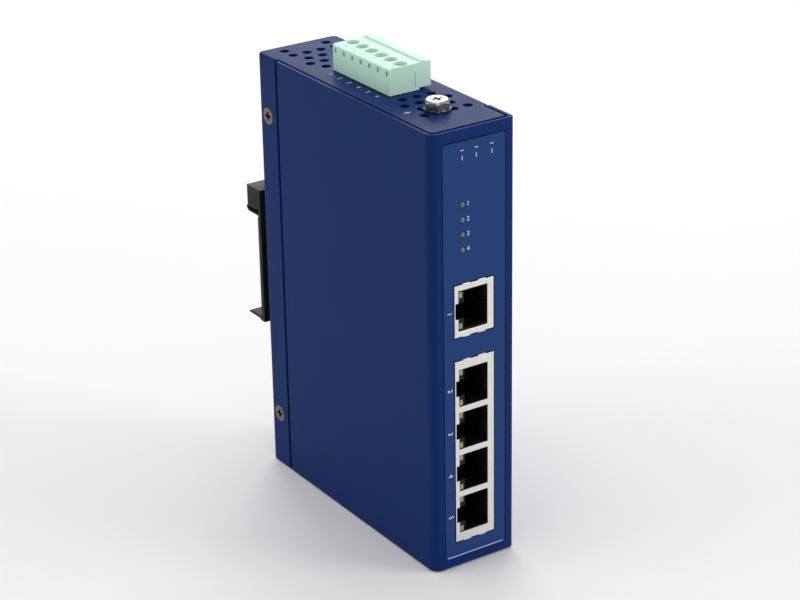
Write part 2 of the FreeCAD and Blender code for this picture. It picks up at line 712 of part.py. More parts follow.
def cross(direction, spot, reach):
    """Cross recess sunk from a spot in a direction."""
    axis = "xyz".index(direction[1])
    start = spot[axis] if direction[0] == "+" else f"{spot[axis]} - recess_depth"
    depth_span = (start, f"{start} + recess_depth")
    centres = [text for index, text in enumerate(spot) if index != axis]
    bars = []
    for widths in ((f"2 * ({reach})", "2 * recess"), ("2 * recess", f"2 * ({reach})")):
        spans = [around(centre, width) for centre, width in zip(centres, widths)]
        spans.insert(axis, depth_span)
        bars.append(box(*spans))
    return bars


def sunk_screw(direction, spot, length):
    """Countersunk screw whose head is flush at the spot."""
    head = cone(direction, spot, "countersink", "countersink - sheet", "sheet")
    shank = rod(direction, spot, "thread", length)
    return [head, shank], cross(direction, spot, "countersink * 0.55")


bodies, recesses = [], []
for level in CASE_SCREW_LEVELS:
    for direction, spot in (("+x", (LEFT, CASE_SCREW_REAR, level)), ("-x", (RIGHT, CASE_SCREW_FRONT, level))):
        solids, slots = sunk_screw(direction, spot, CASE_SCREW_LENGTH)
        bodies += solids
        recesses += slots
node(cut(fuse(bodies), recesses), "case_screws")

shells, bores = [], []
for level in CASE_SCREW_LEVELS:
    left_seat = (f"{TAB_OUTER} + sheet", CASE_SCREW_REAR, level)
    right_seat = (f"{LAP_SIDE} - sheet", CASE_SCREW_FRONT, level)
    for direction, spot in (("+x", left_seat), ("-x", right_seat)):
        shells.append(rod(direction, spot, "nut_radius", "nut_height"))
        bores.append(rod(direction, spot, "thread + thread_gap", "nut_height"))
node(cut(fuse(shells), bores), "case_nuts")

# ---------------------------------------------------------------- ground terminal

washer = doc.addObject("Part::Feature", "washer")
teeth = int(size("washer_teeth"))
root = size("washer_radius") - size("washer_thick")
points = []
for k in range(2 * teeth):
    reach = size("washer_radius") if k % 2 == 0 else root
    angle = math.pi * k / teeth
    points.append(Vector(reach * math.cos(angle), reach * math.sin(angle), 0))
star = Part.Face(Part.makePolygon(points + points[:1]))
washer.Shape = star.extrude(Vector(0, 0, size("washer_thick"))).cut(
    Part.makeCylinder(size("ground_thread") + size("hole_gap"), size("washer_thick"))
)
washer.Placement = Placement(Vector(size("ground_x"), size("ground_y"), size("case_height")), Rotation())
node(washer, "ground_washer")

SEAT = "(case_height + washer_thick)"
HEAD_TOP = f"({SEAT} + ground_height)"
ground_bar = prism("+z", ("ground_x", "ground_y", SEAT), "ground_head", "ground_height")
ground_envelope = cone(
    "-z",
    ("ground_x", "ground_y", HEAD_TOP),
    "ground_crown",
    "ground_crown + (ground_head - ground_crown) * ground_height / ground_chamfer",
    "ground_height",
)
ground_hexagon = doc.addObject("Part::Common", "common")
ground_hexagon.Base = ground_bar
ground_hexagon.Tool = ground_envelope
ground_shank = rod("-z", ("ground_x", "ground_y", SEAT), "ground_thread", "ground_length")
ground_slots = cross("-z", ("ground_x", "ground_y", HEAD_TOP), "ground_recess")
node(cut(fuse([ground_hexagon, ground_shank]), ground_slots), "ground_screw")

ground_seat = ("ground_x", "ground_y", "case_height - sheet")
node(
    cut(
        prism("-z", ground_seat, "ground_thread * 2", "ground_thread * 1.5"),
        [rod("-z", ground_seat, "ground_thread + thread_gap", "ground_thread * 1.5")],
    ),
    "ground_nut",
)

# ---------------------------------------------------------------- board and its carriers

board = new_body()
sheet_plan = new_sketch(board, "YZ", BOARD_BACK)
rectangle(sheet_plan, (BOARD_FRONT, BOARD_REAR), ("board_low", BOARD_HIGH))
for spot in BOARD_SCREWS:
    circle(sheet_plan, spot, "thread + hole_gap")
pad(board, sheet_plan, "board_thick")
node(board, "main_board")

lining = new_body()
lining_plan = new_sketch(lining, "YZ", INNER_LEFT)
rectangle(lining_plan, (f"{FRONT} + front_bend + lap_gap", f"{WALL_END} - sheet"), ("board_low", BOARD_HIGH))
for spot in BOARD_SCREWS:
    circle(lining_plan, spot, "film_hole")
pad(lining, lining_plan, "film")
node(lining, "insulating_sheet")

shells, bores, screws, slots = [], [], [], []
for across, up in BOARD_SCREWS:
    shells.append(prism("+x", (INNER_LEFT, across, up), "standoff_radius", "standoff"))
    bores.append(rod("+x", (INNER_LEFT, across, up), "thread + thread_gap", "standoff"))
    screws.append(rod("+x", (BOARD_FACE, across, up), "head_radius", "head_height"))
    screws.append(rod("-x", (f"{BOARD_FACE} + head_height", across, up), "thread", "head_height + standoff"))
    slots += cross("-x", (f"{BOARD_FACE} + head_height", across, up), "head_radius * 0.6")
node(cut(fuse(shells), bores), "board_standoffs")
node(cut(fuse(screws), slots), "board_screws")

# ---------------------------------------------------------------- jacks

MOUTH_SPAN = (f"{BOARD_FACE} + mouth_left", f"{JACK_SIDE} - mouth_right")
NOTCH_SPAN = (f"{BOARD_FACE} + notch_left", f"{BOARD_FACE} + mouth_left + sheet")
CORE_FRONT = f"({JACK_FRONT} + shield)"
CORE_REAR = f"({JACK_REAR} - shield)"
PLUG_ROOF = f"({JACK_SIDE} - plug_roof)"
PLUG_BACK = f"({CORE_FRONT} + plug_reach)"
LAMP_SPAN = (f"{BOARD_FACE} + lamp_left", f"{BOARD_FACE} + lamp_left + lamp_width")
LEG_FRONT = f"({CORE_REAR} - 3 * wire_thick)"


def lamp_span(level, side):
    """Span of a port light above (1) or below (-1) a port's centre."""
    outer = f"{level} + {side} * (plug_space / 2 - lamp_edge)"
    inner_end = f"{outer} - {side} * lamp_height"
    return (inner_end, outer) if side > 0 else (outer, inner_end)


def make_jack(label, centre, span, levels, mouth):
    """Shielded jack with one or more ports: shield, insulator and contacts."""
    hull = box((BOARD_FACE, JACK_SIDE), (JACK_FRONT, JACK_REAR), around(centre, span))
    room = box(
        (BOARD_FACE, f"{JACK_SIDE} - shield"),
        (CORE_FRONT, CORE_REAR),
        around(centre, f"{span} - 2 * shield"),
    )
    openings, spaces = [], []
    for level in levels:
        front_span = (JACK_FRONT, CORE_FRONT)
        openings.append(box(MOUTH_SPAN, front_span, around(level, mouth)))
        openings.append(box(NOTCH_SPAN, front_span, around(level, "notch_width")))
    fingers = []
    for side in (-1, 1):
        for across in (0.3, 0.7):
            edge = f"{centre} + {side} * ({span}) / 2"
            reach = f"{edge} + {side} * finger_height"
            finger_span = (reach, edge) if side < 0 else (edge, reach)
            middle = f"{BOARD_FACE} + {across} * jack_height"
            fingers.append(
                box(around(middle, "finger_width"), (JACK_FRONT, f"{JACK_FRONT} + finger_depth"), finger_span)
            )
    node(cut(fuse([hull] + fingers), [room] + openings), f"{label}_shield")

    core = box(
        (BOARD_FACE, f"{JACK_SIDE} - shield"),
        (CORE_FRONT, CORE_REAR),
        around(centre, f"{span} - 2 * shield"),
    )
    wires = []
    for level in levels:
        latch_span = (NOTCH_SPAN[0], f"{BOARD_FACE} + plug_floor")
        spaces.append(box((latch_span[1], PLUG_ROOF), (CORE_FRONT, PLUG_BACK), around(level, "plug_space")))
        spaces.append(box(latch_span, (CORE_FRONT, PLUG_BACK), around(level, "notch_width")))
        row = "8 * wire_pitch"
        roof_span = (PLUG_ROOF, f"{PLUG_ROOF} + wire_room")
        spaces.append(box(roof_span, (f"{CORE_FRONT} + sheet", CORE_REAR), around(level, row)))
        spaces.append(box((BOARD_FACE, roof_span[1]), (LEG_FRONT, CORE_REAR), around(level, row)))
        for side in (-1, 1):
            lamp = (CORE_FRONT, f"{CORE_FRONT} + lamp_reach")
            spaces.append(box(LAMP_SPAN, lamp, lamp_span(level, side)))
        for step in range(8):
            span_z = around(f"({level} + ({step} - 3.5) * wire_pitch)", "wire_width")
            top = f"({PLUG_ROOF} + wire_room - wire_thick)"
            run_front = f"({CORE_FRONT} + 2 * sheet)"
            rear = f"({LEG_FRONT} + 2 * wire_thick)"
            wires.append(box((top, f"{top} + wire_thick"), (run_front, rear), span_z))
            wires.append(box((BOARD_FACE, f"{top} + wire_thick"), (f"{rear} - wire_thick", rear), span_z))
            spring = box((top, f"{top} + wire_thick"), (run_front, f"{run_front} + wire_spring"), span_z)
            spring.Placement.Rotation = Rotation(Vector(0, 0, 1), size("wire_slope"))
            wires.append(spring)
    node(cut(core, spaces), f"{label}_insulator")
    node(fuse(wires), f"{label}_contacts")


make_jack("single_jack", "single_level", "single_span", ["single_level"], "single_mouth")
make_jack("quad_jack", "quad_level", QUAD_SPAN, QUAD_LEVELS, "quad_mouth")

for label, side in (("link_light_guides", 1), ("speed_light_guides", -1)):
    guides = [
        box(LAMP_SPAN, (CORE_FRONT, f"{CORE_FRONT} + lamp_reach"), lamp_span(level, side))
        for level in ["single_level"] + QUAD_LEVELS
    ]
    node(group(guides), label)

# ---------------------------------------------------------------- status lights

LED_FRONT = f"({FRONT} - label_thick - led_proud)"
HOLDER_FRONT = f"({FRONT} + sheet + lid_gap)"
lights, wells = [], []
for step in range(4):
    level = f"(led_top - {step} * led_pitch)"
    tip = (LED_COLUMN, LED_FRONT, level)
    lights.append(cone("+y", tip, "led_radius - led_chamfer", "led_radius", "led_chamfer"))
    stem = (LED_COLUMN, f"{LED_FRONT} + led_chamfer", level)
    lights.append(rod("+y", stem, "led_radius", "led_length - led_chamfer"))
    wells.append(rod("+y", (LED_COLUMN, HOLDER_FRONT, level), "led_radius", "holder_depth"))
node(fuse(lights), "status_lights")
holder = box(
    (BOARD_FACE, f"{LED_COLUMN} + led_radius + holder_wall"),
    (HOLDER_FRONT, f"{HOLDER_FRONT} + holder_depth"),
    ("led_top - 3 * led_pitch - led_radius - holder_wall", "led_top + led_radius + holder_wall"),
)
node(cut(holder, wells), "light_holder")

# ---------------------------------------------------------------- terminal header and plug

TONGUE_LOW = "(case_height - tongue_depth)"
HEADER_FLOOR = f"({TONGUE_LOW} - 0.5 * tongue_gap)"
HEADER_LOW = f"({HEADER_FLOOR} - header_floor)"
SOCKET_SIDE = "(pin_side + 2 * clip_hole)"
CAGE_LOW = "(case_height + cage_rise)"
CAGE_HIGH = f"({CAGE_LOW} + cage_height)"
CAGE_RIGHT = "(bar_left + bar_thick + tip_gap + screw_room + cage_nut)"
CAGE_LEFT = "(bar_left - cage_wire - cage_wall)"
BAR_RIGHT = "(bar_left + bar_thick)"
HEAD_LEFT = f"({CAGE_RIGHT} + cage_travel + cage_gap)"

header = box(
    (BOARD_FACE, "tongue_right + tongue_gap + header_wall"),
    around("plug_level", f"2 * ({TONGUE_END} + tongue_gap + header_wall)"),
    (HEADER_LOW, "case_height - sheet - header_drop"),
)
well = box(
    ("tongue_left - tongue_gap", "tongue_right + tongue_gap"),
    around("plug_level", f"2 * ({TONGUE_END} + tongue_gap)"),
    (HEADER_FLOOR, "case_height"),
)
passages, legs = [], []
for level in POLE_LEVELS:
    pin_y = around(level, "pin_side")
    pin_x = around("pin_column", "pin_side")
    foot = (f"{HEADER_LOW} - pin_drop", f"{HEADER_LOW} - pin_drop + pin_side")
    passages.append(box(pin_x, pin_y, (HEADER_LOW, HEADER_FLOOR)))
    legs.append(box(pin_x, pin_y, (foot[0], "case_height - pin_tip")))
    legs.append(box((BOARD_FACE, pin_x[1]), pin_y, foot))
node(cut(header, [well] + passages), "terminal_header")
node(fuse(legs), "header_pins")

plug = new_body()
plug_side = new_sketch(plug, "XZ", f"-plug_level - {PLUG_END}")
SHOULDER = "(case_height + plug_shoulder)"
outline(
    plug_side,
    [
        ("plug_left", SHOULDER),
        ("plug_step", SHOULDER),
        ("plug_step", "case_height + plug_lift"),
        ("plug_right", "case_height + plug_lift"),
        ("plug_right", PLUG_TOP),
        ("ridge_left + ridge_width", PLUG_TOP),
        ("ridge_left + ridge_width", f"{PLUG_TOP} + ridge_height"),
        ("ridge_left + 0.5 * ridge_height", f"{PLUG_TOP} + ridge_height"),
        ("ridge_left", PLUG_TOP),
        ("plug_left + plug_bevel", PLUG_TOP),
        ("plug_left", f"{PLUG_TOP} - plug_bevel_drop"),
    ],
)
pad(plug, plug_side, f"2 * {PLUG_END}")
tongue = new_sketch(plug, "XZ", f"-plug_level - {TONGUE_END}")
rectangle(tongue, ("tongue_left", "tongue_right"), (TONGUE_LOW, f"{SHOULDER} + sheet"))
pad(plug, tongue, f"2 * {TONGUE_END}")
keys = new_sketch(plug, "YZ", "plug_left")
for step in range(-3, 4):
    key_top = f"{PLUG_TOP} - key_drop"
    key_place = f"(plug_level + {step} * key_pitch)"
    rectangle(keys, around(key_place, "key_width"), (f"{key_top} - key_height", key_top))
pocket(plug, keys, "key_depth")
grooves = new_sketch(plug, "XZ", f"-plug_level - {PLUG_END}")
groove_span = ("case_height + groove_low", "case_height + groove_high")
rectangle(grooves, around("groove_at", "groove_width"), groove_span)
pocket(plug, grooves, "groove_depth")
far_grooves = new_sketch(plug, "XZ", f"-plug_level + {PLUG_END} - groove_depth")
rectangle(far_grooves, around("groove_at", "groove_width"), groove_span)
pocket(plug, far_grooves, "groove_depth")

rooms, sockets = [], []
cage_span = ("cage_width + 2 * cage_gap", "cage_height")
for index, level in enumerate(POLE_LEVELS):
    chamber_high = f"{CAGE_HIGH} + cage_gap"
    rooms.append(
        box(
            (f"{CAGE_LEFT} - cage_gap", f"{HEAD_LEFT} + tip_gap"),
            around(level, "cage_width + 2 * cage_gap"),
            (f"{CAGE_LOW} - cage_gap", chamber_high),
        )
    )
    socket_span = f"{SOCKET_SIDE} + 2 * socket_wall"
    rooms.append(
        box(
            around("pin_column", socket_span),
            around(level, socket_span),
            (TONGUE_LOW, f"{CAGE_LOW} - cage_gap"),
        )
    )
    bridge_low = f"{CAGE_LOW} - cage_gap - bar_thick"
    rooms.append(
        box(("pin_column", BAR_RIGHT), around(level, "bar_width"), (bridge_low, f"{CAGE_LOW} - cage_gap"))
    )
    centre_z = f"{CAGE_LOW} + cage_height / 2"
    access = f"plug_right - {HEAD_LEFT}"
    rooms.append(rod("+x", (HEAD_LEFT, level, centre_z), "clamp_head + cage_gap", access))
    roof = f"{PLUG_TOP} - {CAGE_HIGH} - cage_gap"
    rooms.append(rod("+z", ("entry_level", level, chamber_high), "entry_throat", roof))
    rooms.append(
        cone(
            "-z",
            ("entry_level", level, PLUG_TOP),
            "entry_radius",
            "entry_throat",
            f"{roof} - cage_gap",
        )
    )

    sleeve = box(around("pin_column", socket_span), around(level, socket_span), (TONGUE_LOW, bridge_low))
    bore = box(around("pin_column", SOCKET_SIDE), around(level, SOCKET_SIDE), (TONGUE_LOW, bridge_low))
    bridge = box(
        (f"pin_column - ({socket_span}) / 2", BAR_RIGHT),
        around(level, "bar_width"),
        (bridge_low, f"{CAGE_LOW} - cage_gap"),
    )
    bar = box(("bar_left", BAR_RIGHT), around(level, "bar_width"), (bridge_low, CAGE_HIGH))
    sockets.append(fuse([cut(sleeve, [bore]), bridge, bar]))

    frame = box((CAGE_LEFT, CAGE_RIGHT), around(level, "cage_width"), (CAGE_LOW, CAGE_HIGH))
    window = box(
        (f"{CAGE_LEFT} + cage_wall", f"{CAGE_RIGHT} - cage_nut"),
        around(level, "cage_width - 2 * cage_wall"),
        (CAGE_LOW, CAGE_HIGH),
    )
    tap_start = f"{CAGE_RIGHT} - cage_nut"
    tapping = rod("+x", (tap_start, level, centre_z), "clamp_thread + thread_gap", "cage_nut")
    node(cut(frame, [window, tapping]), f"clamp_cage_{index + 1}")

    shaft_start = f"{BAR_RIGHT} + tip_gap"
    head_start = f"{HEAD_LEFT} + tip_gap"
    shaft = rod("+x", (shaft_start, level, centre_z), "clamp_thread", f"{head_start} - {shaft_start}")
    head = rod("+x", (head_start, level, centre_z), "clamp_head", "clamp_head_height")
    head_end = f"{head_start} + clamp_head_height"
    slot = box(
        (f"{head_end} - clamp_head_height * 0.6", head_end),
        around(level, "2 * clamp_slot"),
        around(centre_z, "2 * clamp_head"),
    )
    node(cut(fuse([shaft, head]), [slot]), f"clamp_screw_{index + 1}")

node(cut(plug, rooms), "terminal_plug")
node(group(sockets), "plug_sockets")

# ---------------------------------------------------------------- rail clip

clip = new_body()
clip_side = new_sketch(clip, "YZ", "-clip_width / 2")
LEDGE_END = f"({CLIP_FRONT} + clip_ledge_reach)"
LIP_START = f"({LEDGE_END} - clip_lip)"
LEDGE_TOP = "(clip_low + clip_ledge)"
BAY_LOW = "(clip_high - clip_block - spring_drop - bay_gap)"
outline(
    clip_side,
    [
        (CLIP_FRONT, "clip_low"),
        (CLIP_FACE, "clip_low"),
        (f"{CLIP_FACE} + 2 * clip_root", "clip_low + clip_arch"),
        (LEDGE_END, "clip_low + clip_arch"),
        (LEDGE_END, "clip_low + clip_arch + clip_tip"),
        (LIP_START, LEDGE_TOP),
        (f"{CLIP_FACE} + clip_root", LEDGE_TOP),
        (CLIP_FACE, f"{LEDGE_TOP} + clip_root"),
        (CLIP_FACE, BAY_LOW),
        (f"{CLIP_FACE} - bay_depth", BAY_LOW),
        (f"{CLIP_FACE} - bay_depth", "clip_high - clip_block"),
        (f"{CLIP_FRONT} + clip_block_reach", "clip_high - clip_block"),
        (f"{CLIP_FRONT} + clip_block_reach", "clip_high"),
        (CLIP_FRONT, "clip_high"),
    ],
)
pad(clip, clip_side, "clip_width")
clip_seats = [
    cone("-y", ("0", CLIP_FACE, level), SINK, "thread + hole_gap", "countersink - thread")
    for level in CLIP_SCREW_LEVELS
]
clip_seats += [
    rod("-y", ("0", CLIP_FACE, level), "thread + hole_gap", "clip_plate") for level in CLIP_SCREW_LEVELS
]
node(cut(clip, clip_seats), "rail_clip")

leaf = new_body()
leaf_side = new_sketch(leaf, "YZ", "-spring_width / 2")
ROOT_TOP = "(clip_high - clip_block)"
NOSE = LEDGE_END
outline(
    leaf_side,
    [
        (f"{CLIP_FRONT} + spring_start", ROOT_TOP),
        (f"{NOSE} - spring_drop / 2", ROOT_TOP),
        (NOSE, f"{ROOT_TOP} - spring_drop / 2"),
        (f"{NOSE} - spring_drop / 2", f"{ROOT_TOP} - spring_drop"),
        (f"{CLIP_FACE} + spring_sheet", f"{ROOT_TOP} - spring_drop"),
        (f"{CLIP_FACE} + spring_sheet", f"{ROOT_TOP} - spring_drop + spring_sheet"),
        (f"{NOSE} - spring_drop / 2 - spring_sheet / 3", f"{ROOT_TOP} - spring_drop + spring_sheet"),
        (f"{NOSE} - spring_sheet * 1.4", f"{ROOT_TOP} - spring_drop / 2"),
        (f"{NOSE} - spring_drop / 2 - spring_sheet / 3", f"{ROOT_TOP} - spring_sheet"),
        (f"{CLIP_FRONT} + spring_start", f"{ROOT_TOP} - spring_sheet"),
    ],
)
pad(leaf, leaf_side, "spring_width")
node(leaf, "rail_spring")

shells, bores, screws, slots, nuts, threads = [], [], [], [], [], []
for level in CLIP_SCREW_LEVELS:
    shells.append(rod("+y", ("0", REAR, level), "spacer_radius", "clip_gap"))
    bores.append(rod("+y", ("0", REAR, level), "thread + hole_gap", "clip_gap"))
    screws.append(
        cone("-y", ("0", CLIP_FACE, level), "countersink", "thread", "countersink - thread")
    )
    screws.append(rod("-y", ("0", CLIP_FACE, level), "thread", "clip_screw_length"))
    slots += cross("-y", ("0", CLIP_FACE, level), "countersink * 0.55")
    nuts.append(rod("-y", ("0", f"{REAR} - sheet", level), "nut_radius", "nut_height"))
    threads.append(rod("-y", ("0", f"{REAR} - sheet", level), "thread + thread_gap", "nut_height"))
node(cut(fuse(shells), bores), "clip_spacers")
node(cut(fuse(screws), slots), "clip_screws")
node(cut(fuse(nuts), threads), "clip_nuts")

# ---------------------------------------------------------------- components on the board

transformers = [
    box(
        (BOARD_FACE, f"{BOARD_FACE} + transformer_rise"),
        (f"{JACK_REAR} + transformer_gap", f"{JACK_REAR} + transformer_gap + transformer_deep"),
        around(level, "transformer_tall"),
    )
    for level in ["single_level"] + QUAD_LEVELS
]
node(group(transformers), "port_transformers")

for part_name, shape, *_ in COMPONENTS:
    solids = []
    rise, deep, tall = (f"{part_name}_{suffix}" for suffix in ("rise", "deep", "tall"))
    for column in range(int(size(f"{part_name}_columns"))):
        for rank in range(int(size(f"{part_name}_rows"))):
            across = f"({part_name}_along_share * case_depth + {column} * {part_name}_column_step)"
            up = f"({part_name}_up_share * case_height + {rank} * {part_name}_row_step)"
            if shape == "round":
                solids.append(rod("+x", (BOARD_FACE, across, up), f"{deep} / 2", rise))
            else:
                height_span = (BOARD_FACE, f"{BOARD_FACE} + {rise}")
                solids.append(box(height_span, around(across, deep), around(up, tall)))
    node(group(solids), part_name)

SINK_SEAT = f"({BOARD_FACE} + switch_chip_rise)"
sink_up = around("(switch_chip_up_share * case_height)", "switch_chip_tall")
sink_across = around("(switch_chip_along_share * case_depth)", "switch_chip_deep")
fins = [box((SINK_SEAT, f"{SINK_SEAT} + sink_base"), sink_across, sink_up)]
fin_total = int(size("fin_count"))
for step in range(fin_total):
    fin_front = f"{sink_across[0]} + {step} * (switch_chip_deep - fin_thick) / (fin_count - 1)"
    fin_top = f"{SINK_SEAT} + sink_base + sink_rise"
    fins.append(box((SINK_SEAT, fin_top), (fin_front, f"{fin_front} + fin_thick"), sink_up))
node(fuse(fins), "heat_sink")

# ---------------------------------------------------------------- export

doc.recompute()
for item in doc.Objects:
    if "Invalid" in item.State or "Error" in item.State:
        raise RuntimeError(f"{item.Name} ({item.Label}) failed: {item.State}")
for item in NODES:
    if item.Shape.isNull() or not item.Shape.isValid():
        raise RuntimeError(f"{item.Label} has no valid shape")

os.makedirs("parts", exist_ok=True)
for item in NODES:
    item.Shape.exportStep(f"parts/{item.Label}.step")
    box_of = item.Shape.BoundBox
    print(
        f"{item.Label}: {len(item.Shape.Solids)} solids, {item.Shape.Volume:.1f} mm3, "
        f"x {box_of.XMin:.2f} {box_of.XMax:.2f}, y {box_of.YMin:.2f} {box_of.YMax:.2f}, "
        f"z {box_of.ZMin:.2f} {box_of.ZMax:.2f}"
    )
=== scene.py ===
import json
import math

import bmesh
import bpy
from mathutils import Matrix, Quaternion, Vector


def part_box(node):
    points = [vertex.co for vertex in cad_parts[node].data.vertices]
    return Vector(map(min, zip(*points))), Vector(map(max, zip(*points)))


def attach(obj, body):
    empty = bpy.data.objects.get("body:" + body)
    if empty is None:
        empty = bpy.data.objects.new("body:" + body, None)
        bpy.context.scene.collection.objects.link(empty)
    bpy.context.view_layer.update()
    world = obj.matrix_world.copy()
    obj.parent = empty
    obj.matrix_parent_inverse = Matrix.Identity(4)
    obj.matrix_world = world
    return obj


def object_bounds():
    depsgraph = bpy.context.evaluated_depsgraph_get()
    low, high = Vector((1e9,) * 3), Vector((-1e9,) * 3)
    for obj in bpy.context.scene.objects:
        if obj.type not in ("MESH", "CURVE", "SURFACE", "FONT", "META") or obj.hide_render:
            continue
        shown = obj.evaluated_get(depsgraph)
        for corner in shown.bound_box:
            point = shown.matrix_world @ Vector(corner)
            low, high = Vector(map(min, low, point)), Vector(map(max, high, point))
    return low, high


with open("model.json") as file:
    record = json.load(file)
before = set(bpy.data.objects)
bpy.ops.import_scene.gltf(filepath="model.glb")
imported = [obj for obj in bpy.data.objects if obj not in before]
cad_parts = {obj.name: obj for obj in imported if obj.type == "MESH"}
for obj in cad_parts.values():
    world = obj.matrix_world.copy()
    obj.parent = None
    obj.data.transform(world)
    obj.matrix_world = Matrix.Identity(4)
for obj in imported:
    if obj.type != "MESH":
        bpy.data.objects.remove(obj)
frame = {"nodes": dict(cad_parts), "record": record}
CAD_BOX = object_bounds()
MM = 0.001
scene = bpy.context.scene


def srgb(red, green, blue):
    """A linear colour from 0..255 display values."""
    def one(v):
        v /= 255
        return v / 12.92 if v <= 0.04045 else ((v + 0.055) / 1.055) ** 2.4
    return one(red), one(green), one(blue), 1.0


# ---------------------------------------------------------------- camera, floor and lights

AZIMUTH = math.radians(-33.44)
ELEVATION = math.radians(23.78)
ROLL = math.radians(-1.0)
TARGET = Vector((5.58, 0, 68.23)) * MM
DISTANCE = 745.9 * MM
LENS = 108.95


def make_camera():
    back = Vector((
        math.sin(AZIMUTH) * math.cos(ELEVATION),
        -math.cos(AZIMUTH) * math.cos(ELEVATION),
        math.sin(ELEVATION),
    ))
    data = bpy.data.cameras.new("camera")
    data.lens = LENS
    data.sensor_width = 36
    data.clip_start = 0.02
    data.clip_end = 30
    camera = bpy.data.objects.new("camera", data)
    scene.collection.objects.link(camera)
    camera.location = TARGET + back * DISTANCE
    camera.rotation_mode = "QUATERNION"
    camera.rotation_quaternion = (-back).to_track_quat("-Z", "Y") @ Quaternion((0, 0, 1), ROLL)
    scene.camera = camera


def area_light(name, place, aim, size, power):
    data = bpy.data.lights.new(name, "AREA")
    data.shape = "RECTANGLE"
    data.size, data.size_y = size
    data.energy = power
    light = bpy.data.objects.new(name, data)
    scene.collection.objects.link(light)
    light.location = place
    light.rotation_mode = "QUATERNION"
    light.rotation_quaternion = (Vector(aim) - Vector(place)).to_track_quat("-Z", "Y")


def make_studio():
    scene.view_settings.view_transform = "Standard"
    world = bpy.data.worlds.new("studio")
    world.use_nodes = True
    world.node_tree.nodes["Background"].inputs["Color"].default_value = (1, 1, 1, 1)
    world.node_tree.nodes["Background"].inputs["Strength"].default_value = 0.55
    scene.world = world
    area_light("overhead", (-0.1, 0.1, 1.3), (0, 0, 0.1), (0.9, 0.9), 3.4)
    area_light("rear softbox", (0.62, 0.95, 0.62), (0, 0, 0.14), (0.9, 0.5), 5.5)
    area_light("front softbox", (1.0, -1.0, 0.5), (0, 0, 0.07), (0.6, 0.8), 8)
    area_light("left softbox", (-1.2, 0.5, 0.8), (0, 0, 0.1), (0.7, 0.7), 3)
    mesh = bpy.data.meshes.new("floor")
    reach = 6.0
    mesh.from_pydata(
        [(-reach, -reach, 0), (reach, -reach, 0), (reach, reach, 0), (-reach, reach, 0)],
        [], [(0, 1, 2, 3)],
    )
    floor = bpy.data.objects.new("floor", mesh)
    scene.collection.objects.link(floor)
    floor.location.z = CAD_BOX[0].z - 0.02 * MM
    mesh.materials.append(finish("floor", srgb(244, 244, 244), srgb(240, 240, 240), 3, 0.7, 0.8))


# ---------------------------------------------------------------- finishes

def finish(name, colour, tint, grain, rough, rough_to, bump=0.0, bump_grain=500.0,
           metallic=0.0, level=0.5, **constants):
    """A material whose colour, roughness and relief vary with noise fixed to the part."""
    material = bpy.data.materials.new(name)
    material.use_nodes = True
    tree = material.node_tree
    surface = tree.nodes["Principled BSDF"]
    surface.inputs["Metallic"].default_value = metallic
    surface.inputs["Specular IOR Level"].default_value = level
    for key, value in constants.items():
        surface.inputs[key.replace("_", " ")].default_value = value
    place = tree.nodes.new("ShaderNodeTexCoord")

    cloud = tree.nodes.new("ShaderNodeTexNoise")
    cloud.inputs["Scale"].default_value = grain
    cloud.inputs["Detail"].default_value = 6
    tree.links.new(place.outputs["Object"], cloud.inputs["Vector"])
    mix = tree.nodes.new("ShaderNodeMix")
    mix.data_type = "RGBA"
    mix.inputs["A"].default_value = colour
    mix.inputs["B"].default_value = tint
    tree.links.new(cloud.outputs["Fac"], mix.inputs["Factor"])
    tree.links.new(mix.outputs["Result"], surface.inputs["Base Color"])

    spread = tree.nodes.new("ShaderNodeMapRange")
    spread.inputs["From Min"].default_value = 0.3
    spread.inputs["From Max"].default_value = 0.7
    spread.inputs["To Min"].default_value = rough
    spread.inputs["To Max"].default_value = rough_to
    tree.links.new(cloud.outputs["Fac"], spread.inputs["Value"])
    tree.links.new(spread.outputs["Result"], surface.inputs["Roughness"])

    if bump:
        fine = tree.nodes.new("ShaderNodeTexNoise")
        fine.inputs["Scale"].default_value = bump_grain
        fine.inputs["Detail"].default_value = 3
        tree.links.new(place.outputs["Object"], fine.inputs["Vector"])
        relief = tree.nodes.new("ShaderNodeBump")
        relief.inputs["Strength"].default_value = bump
        relief.inputs["Distance"].default_value = 0.1 * MM
        tree.links.new(fine.outputs["Fac"], relief.inputs["Height"])
        tree.links.new(relief.outputs["Normal"], surface.inputs["Normal"])
    return material


